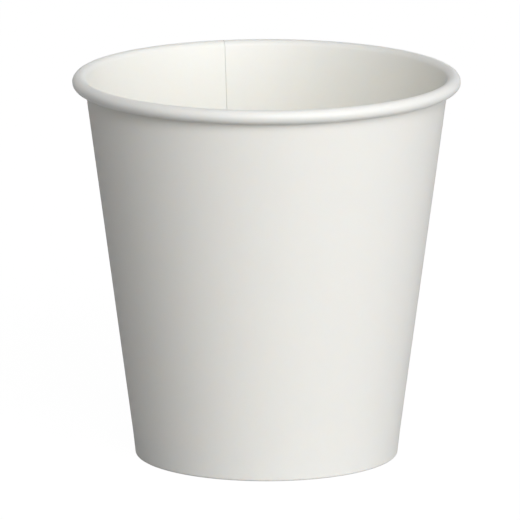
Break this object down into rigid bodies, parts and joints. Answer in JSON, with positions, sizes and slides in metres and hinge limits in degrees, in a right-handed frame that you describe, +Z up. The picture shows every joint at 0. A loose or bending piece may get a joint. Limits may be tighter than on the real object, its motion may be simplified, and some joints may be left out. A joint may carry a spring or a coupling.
{
  "type": "paper coffee cup",
  "caption": "Plain white tapered paper cup for hot drinks, with an outward rolled rim, a lapped side seam and a recessed bottom disc in a folded, knurled hem.",
  "frame": {"origin": "centre of the foot ring, on the surface that the cup stands on", "axes": "+Z up along the cup's axis, -Y towards the picture's camera; the lap seam is at the back, left of +Y"},
  "size_m": [0.08, 0.08, 0.0796],
  "materials": {
    "wall_board": "uncoated white board outside, thin clear coating inside, matte",
    "disc_board": "white board with a thin clear coating on its upper face, matte"
  },
  "bodies": {
    "root": {"sidewall": "wall_board", "bottom_disc": "disc_board"}
  },
  "joints": []
}
